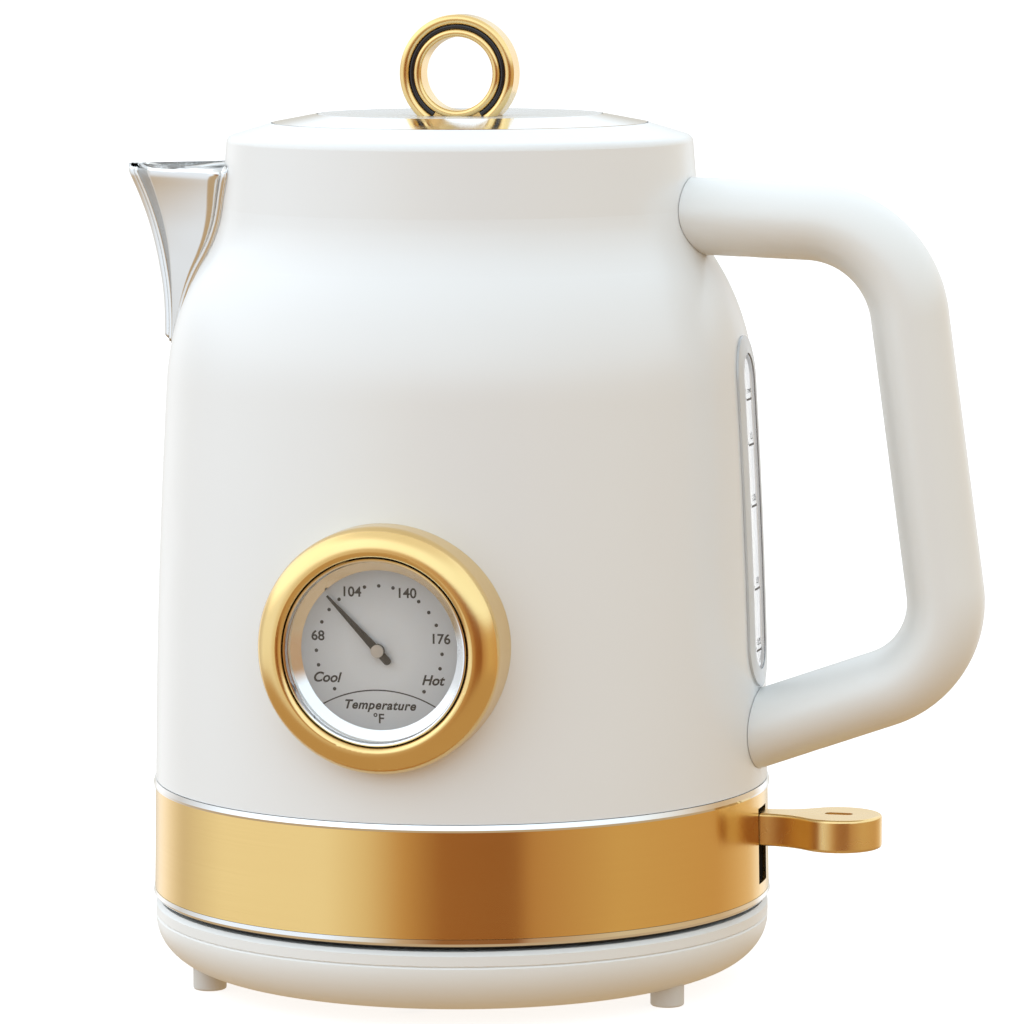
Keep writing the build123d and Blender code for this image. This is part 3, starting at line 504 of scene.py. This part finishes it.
for level, label in LEVEL_MARKS:
    for printed_piece in print_level_mark(level, label):
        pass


# ---- inlay of the lid's ring --------------------------------------------------------------------

RING_LOW, RING_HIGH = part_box("lid_ring")
RING_SIZE_R = (RING_HIGH.x - RING_LOW.x) / 2
RING_CENTRE_Z = RING_HIGH.z - RING_SIZE_R
INLAY_IN_R = RING_SIZE_R - 3.52 * MM
INLAY_OUT_R = RING_SIZE_R - 2.43 * MM
INLAY_FROM_DOWN = 31


def make_ring_inlay(name, side):
    """Black band that fills the groove in one face of the ring."""
    middle = (INLAY_IN_R + INLAY_OUT_R) / 2
    half = (INLAY_OUT_R - INLAY_IN_R) / 2
    heights = ((-1.0, 2.61), (-1.0, 3.0), (-0.6, 3.15), (0.0, 3.22), (0.6, 3.15), (1.0, 3.0), (1.0, 2.61))
    rows = []
    for degrees in range(-90 + INLAY_FROM_DOWN, 271 - INLAY_FROM_DOWN, 2):
        angle = math.radians(degrees)
        row = []
        for share, height in heights:
            radius = middle + share * half
            up = RING_CENTRE_Z + math.sin(angle) * radius
            row.append((math.cos(angle) * radius, side * height * MM, up))
        rows.append(row)
    return add_piece(name, skin_mesh(name, rows, closed=True), BLACK_INLAY, "lid")


for inlay_name, inlay_side in (("ring_inlay_front", -1), ("ring_inlay_back", 1)):
    make_ring_inlay(inlay_name, inlay_side)


# ---- spout --------------------------------------------------------------------------------------

# Heights and sizes in mm: a rounded rib down the nose, flat panels, and a bead along the body.
SPOUT_FOOT_Z = 160.0
SPOUT_TOP_Z = 201.4
SPOUT_LIP_Z = 203.8
SPOUT_LIP_DROP = 0.09
SPOUT_LIP_FROM_X = 45.0
SPOUT_LOW_Z = 156.5
SPOUT_FOOT_CUT = 0.95
SPOUT_FOOT_CUT_X = 72.0
SPOUT_FOOT_BLEND = 20.0
SPOUT_KEEL_X = 76.2
SPOUT_REACH = 9.1
SPOUT_POWER = 2.3
SPOUT_FOOT_ANGLE = 43.0
SPOUT_LIP_ANGLE = 37.0
SPOUT_NOSE_R = 1.9
SPOUT_WALL = 0.9
SPOUT_ROWS = 48
SPOUT_SUNK_IN_BODY = 0.45
SPOUT_FULL_PANEL = 5.0
RIB_STEPS = 9
PANEL_STEPS = 6
RIB_WRAP = math.radians(34)
PANEL_SUNK = 0.3
BODY_TREE = surface_tree("body_shell")


def body_radius(z):
    """Outer radius of the body at a height in mm, measured on the side away from the gauge."""
    hit = BODY_TREE.ray_cast(Vector((-0.02, 0.3, z * MM)), Vector((0, -1, 0)))[0]
    return math.hypot(hit.x, hit.y) / MM


def spout_half_section(z):
    """Outline of one side of the spout at a height, from the nose to the body, in mm."""
    above = min(1.0, max(0.0, (z - SPOUT_FOOT_Z) / (SPOUT_TOP_Z - SPOUT_FOOT_Z)))
    closing = SPOUT_FOOT_ANGLE - SPOUT_LIP_ANGLE
    half_angle = math.radians(SPOUT_FOOT_ANGLE - closing * above)
    nose = Vector((-(SPOUT_KEEL_X + SPOUT_REACH * above ** SPOUT_POWER - SPOUT_NOSE_R), 0))
    along = Vector((math.cos(half_angle), math.sin(half_angle)))
    outwards = Vector((-math.sin(half_angle), math.cos(half_angle)))
    wrap = math.pi / 2 - half_angle + RIB_WRAP
    points = []
    for step in range(RIB_STEPS + 1):
        angle = wrap * step / RIB_STEPS
        points.append(nose + SPOUT_NOSE_R * Vector((-math.cos(angle), math.sin(angle))))
    start = nose + SPOUT_NOSE_R * outwards
    reach = body_radius(z) - SPOUT_SUNK_IN_BODY
    half_way = start.dot(along)
    length = -half_way - math.sqrt(max(0.0, half_way ** 2 - start.length_squared + reach ** 2))
    begin = SPOUT_NOSE_R * math.sin(RIB_WRAP) + 0.1
    width = max(0.05, length - begin)
    fit = min(1.0, width / SPOUT_FULL_PANEL)
    margin = [(0.0, -PANEL_SUNK - 0.05), (0.25, -0.12), (0.6, -0.05), (0.85, -0.12), (1.0, -PANEL_SUNK),
              (1.12, -PANEL_SUNK)]
    bead = [(-2.42, -PANEL_SUNK), (-2.3, -PANEL_SUNK), (-2.15, -0.05), (-1.85, 0.2), (-1.5, 0.3),
            (-1.15, 0.2), (-0.9, -0.05), (-0.75, -PANEL_SUNK), (-0.55, -0.05), (-0.3, 0.08), (0.0, 0.08)]
    places = [(begin + run * fit, out) for run, out in margin]
    panel_start = places[-1][0]
    panel_end = length + bead[0][0] * fit
    for step in range(1, PANEL_STEPS):
        places.append((panel_start + (panel_end - panel_start) * step / PANEL_STEPS, -PANEL_SUNK))
    places += [(length + run * fit, out) for run, out in bead]
    points += [start + along * run + outwards * (out * fit) for run, out in places]
    return points


def make_spout():
    """V-shaped spout whose flat sides run into the body."""
    heights = [SPOUT_LOW_Z + step for step in range(SPOUT_ROWS)]
    rows = []
    for z in heights + [SPOUT_LIP_Z]:
        half = spout_half_section(z)
        other_half = [(point.x, -point.y) for point in reversed(half)]
        outline = other_half + [(point.x, point.y) for point in half[1:]]
        lip_drop = SPOUT_LIP_DROP if z == SPOUT_LIP_Z else 0.0
        foot_share = max(0.0, 1.0 - (z - SPOUT_LOW_Z) / SPOUT_FOOT_BLEND)
        row = []
        for x, y in outline:
            raised = max(0.0, -x - SPOUT_FOOT_CUT_X) * SPOUT_FOOT_CUT * foot_share
            row.append(Vector((x, y, z + raised + lip_drop * (x + SPOUT_LIP_FROM_X))) * MM)
        rows.append(row)
    spout = add_piece("spout_sheet", skin_mesh("spout_sheet", rows), SPOUT_STEEL, "kettle")
    wall = spout.modifiers.new("wall", "SOLIDIFY")
    wall.thickness = SPOUT_WALL * MM
    wall.offset = -1.0
    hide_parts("spout")


make_spout()


# ---- studio -------------------------------------------------------------------------------------

CAMERA_AZIMUTH = math.radians(14.0)
CAMERA_DISTANCE = 1.3043
CAMERA_HEIGHT = 0.267
CAMERA_PITCH = 0.1147
CAMERA_YAW = 0.0098
CAMERA_ROLL = -0.0019
CAMERA_LENS = 184.0
SENSOR = 36.0


def make_camera():
    """Long lens a little above the lid's height, turned 14 degrees towards the handle side."""
    yaw, pitch = CAMERA_YAW, CAMERA_PITCH
    forward = Vector((math.sin(yaw) * math.cos(pitch), math.cos(yaw) * math.cos(pitch), -math.sin(pitch)))
    level = Vector((math.cos(yaw), -math.sin(yaw), 0))
    above = level.cross(forward)
    right = math.cos(CAMERA_ROLL) * level + math.sin(CAMERA_ROLL) * above
    up = -math.sin(CAMERA_ROLL) * level + math.cos(CAMERA_ROLL) * above
    turn = Matrix.Rotation(CAMERA_AZIMUTH, 4, "Z")
    facing = Matrix((right, up, -forward)).transposed().to_4x4()
    place = Matrix.Translation((0, -CAMERA_DISTANCE, CAMERA_HEIGHT))
    data = bpy.data.cameras.new("camera")
    data.lens = CAMERA_LENS
    data.sensor_width = SENSOR
    data.clip_end = 50.0
    camera = bpy.data.objects.new("camera", data)
    camera.matrix_world = turn @ place @ facing
    bpy.context.scene.collection.objects.link(camera)
    bpy.context.scene.camera = camera


def make_floor():
    """White floor, large enough to run out of every view, with a faint shadow under the object."""
    mesh = bpy.data.meshes.new("floor")
    half = 6.0
    corners = [(-half, -half, 0), (half, -half, 0), (half, half, 0), (-half, half, 0)]
    mesh.from_pydata(corners, [], [(0, 1, 2, 3)])
    floor = bpy.data.objects.new("floor", mesh)
    material = new_material("floor_white", (0.35, 0.35, 0.35), 0.9, Emission_Strength=0.80)
    shader_of(material).inputs["Emission Color"].default_value = (1.0, 1.0, 1.0, 1.0)
    mesh.materials.append(material)
    bpy.context.scene.collection.objects.link(floor)
    floor.visible_glossy = False
    floor.visible_diffuse = False
    floor.visible_transmission = False


# What surrounds the object, from below upwards: a table, walls, panels and a ceiling.
# The walls and the panels are lists of degrees clockwise from the camera, then colour.
# At eye height a pale wall is on the left, a dark gap behind the camera and a dim warm wall on the right.
STUDIO_WALLS = [
    (-180, (0.70, 0.68, 0.62)),
    (-168, (0.78, 0.76, 0.70)),
    (-156, (1.20, 1.20, 1.20)),
    (-148, (1.20, 1.20, 1.20)),
    (-128, (0.75, 0.73, 0.70)),
    (-100, (1.05, 1.12, 1.20)),
    (-52, (1.05, 1.12, 1.20)),
    (-36, (0.88, 0.84, 0.74)),
    (-22, (0.62, 0.40, 0.20)),
    (-8, (0.34, 0.13, 0.035)),
    (20, (0.30, 0.11, 0.03)),
    (25, (0.54, 0.31, 0.15)),
    (60, (0.72, 0.54, 0.30)),
    (110, (0.68, 0.46, 0.24)),
    (138, (0.92, 0.74, 0.52)),
    (148, (1.20, 1.20, 1.20)),
    (156, (1.20, 1.20, 1.20)),
    (168, (0.78, 0.76, 0.70)),
    (180, (0.70, 0.68, 0.62)),
]
# Large soft panels hang above them, brighter on the left.
STUDIO_PANELS = [
    (-180, (1.20, 1.28, 1.35)),
    (-95, (1.70, 1.80, 1.90)),
    (-40, (1.48, 1.63, 1.76)),
    (20, (1.24, 1.42, 1.56)),
    (90, (1.22, 1.36, 1.46)),
    (180, (1.20, 1.28, 1.35)),
]
CEILING = (1.02, 1.05, 1.06)
TABLE = (0.58, 0.41, 0.23)
PANELS_START, PANELS_FULL = 0.08, 0.30
CEILING_START, CEILING_FULL = 0.70, 0.95
TABLE_START, TABLE_FULL = -0.20, -0.38


def azimuth_colours(world, share, stops):
    """Colour that changes with azimuth."""
    colours = add_node(world, "ShaderNodeValToRGB")
    ramp = colours.color_ramp
    for number, (degrees, colour) in enumerate(stops):
        place = (degrees + 180) / 360
        stop = ramp.elements[number] if number < 2 else ramp.elements.new(place)
        stop.position = place
        stop.color = (*colour, 1.0)
    link(world, share, colours.inputs["Fac"])
    return colours.outputs["Color"]


def blend_by_height(world, height, start, full, first, second):
    """Blends two colours, given as a socket or as plain numbers, between two heights."""
    amount = add_node(world, "ShaderNodeMapRange", interpolation_type="SMOOTHSTEP")
    amount.inputs["From Min"].default_value = start
    amount.inputs["From Max"].default_value = full
    mix = add_node(world, "ShaderNodeMix", data_type="RGBA")
    link(world, height, amount.inputs["Value"])
    link(world, amount.outputs["Result"], mix.inputs["Factor"])
    link(world, first, mix.inputs["A"])
    if isinstance(second, tuple):
        mix.inputs["B"].default_value = (*second, 1.0)
    else:
        link(world, second, mix.inputs["B"])
    return mix.outputs["Result"]


def make_studio_world():
    """Soft studio surroundings: walls, panels above them, a pale ceiling and a brown table below."""
    world = bpy.data.worlds.new("studio")
    world.use_nodes = True
    background = world.node_tree.nodes["Background"]
    where = add_node(world, "ShaderNodeTexCoord")
    turned = add_node(world, "ShaderNodeMapping", vector_type="POINT")
    turned.inputs["Rotation"].default_value = (0, 0, -CAMERA_AZIMUTH)
    split = add_node(world, "ShaderNodeSeparateXYZ")
    backwards = add_node(world, "ShaderNodeMath", operation="MULTIPLY")
    backwards.inputs[1].default_value = -1.0
    angle = add_node(world, "ShaderNodeMath", operation="ARCTAN2")
    share = add_node(world, "ShaderNodeMapRange")
    share.inputs["From Min"].default_value = -math.pi
    share.inputs["From Max"].default_value = math.pi
    link(world, where.outputs["Generated"], turned.inputs["Vector"])
    link(world, turned.outputs["Vector"], split.inputs["Vector"])
    link(world, split.outputs["Y"], backwards.inputs[0])
    link(world, split.outputs["X"], angle.inputs[0])
    link(world, backwards.outputs[0], angle.inputs[1])
    link(world, angle.outputs[0], share.inputs["Value"])
    height = split.outputs["Z"]
    colour = azimuth_colours(world, share.outputs["Result"], STUDIO_WALLS)
    panels = azimuth_colours(world, share.outputs["Result"], STUDIO_PANELS)
    colour = blend_by_height(world, height, PANELS_START, PANELS_FULL, colour, panels)
    colour = blend_by_height(world, height, CEILING_START, CEILING_FULL, colour, CEILING)
    colour = blend_by_height(world, height, TABLE_START, TABLE_FULL, colour, TABLE)
    link(world, colour, background.inputs["Color"])
    bpy.context.scene.world = world
    bpy.context.scene.view_settings.view_transform = "Standard"


def make_backdrop():
    """White dome far outside the object, seen by the camera and by nothing else."""
    mesh = bpy.data.meshes.new("backdrop")
    shape = bmesh.new()
    bmesh.ops.create_uvsphere(shape, u_segments=48, v_segments=24, radius=8.0)
    shape.to_mesh(mesh)
    shape.free()
    backdrop = bpy.data.objects.new("backdrop", mesh)
    white = new_material("backdrop_white", (0.0, 0.0, 0.0), 1.0, Emission_Strength=1.1)
    shader_of(white).inputs["Emission Color"].default_value = (1.0, 1.0, 1.0, 1.0)
    mesh.materials.append(white)
    bpy.context.scene.collection.objects.link(backdrop)
    backdrop.visible_diffuse = False
    backdrop.visible_glossy = False
    backdrop.visible_transmission = False
    backdrop.visible_shadow = False


make_camera()
make_floor()
make_studio_world()
make_backdrop()
